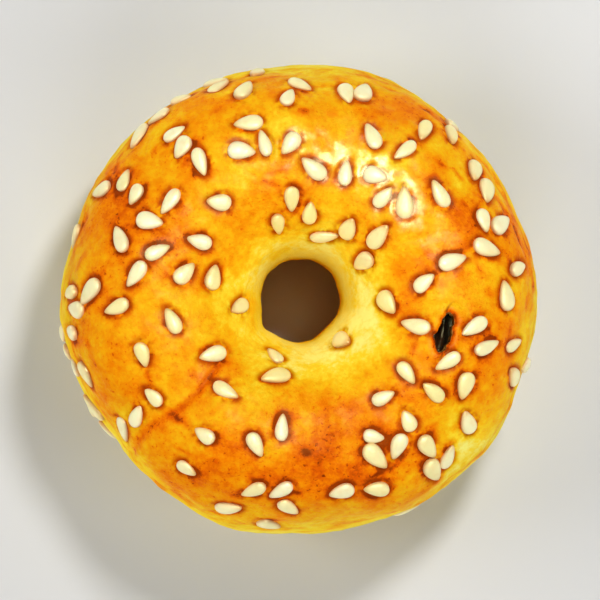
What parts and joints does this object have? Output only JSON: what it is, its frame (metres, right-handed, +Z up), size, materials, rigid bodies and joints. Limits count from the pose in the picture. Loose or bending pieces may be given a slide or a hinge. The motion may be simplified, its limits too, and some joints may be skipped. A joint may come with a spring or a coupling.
{
  "type": "date maamoul",
  "caption": "Round ring-shaped maamoul of golden short dough with a small hole, filled with date paste and strewn with sesame seeds, with one small split over the filling.",
  "frame": {"origin": "on the axis of the centre hole, at the flat underside", "axes": "+Z up along the hole's axis, towards the crown with the sesame seeds; +X from the hole towards the side with the split, which lies 14 degrees from it towards -Y"},
  "size_m": [0.0558, 0.0548, 0.0241],
  "materials": {
    "dough": "baked short dough: glazed golden orange crown with brown mottling, pale yellow matte sides, browned underside",
    "sesame": "hulled sesame seeds, creamy white, satin, a little toasted at the tips",
    "date_paste": "very dark brown sticky date paste"
  },
  "bodies": {
    "root": {"dough_ring": "dough", "date_filling": "date_paste"}
  },
  "joints": []
}
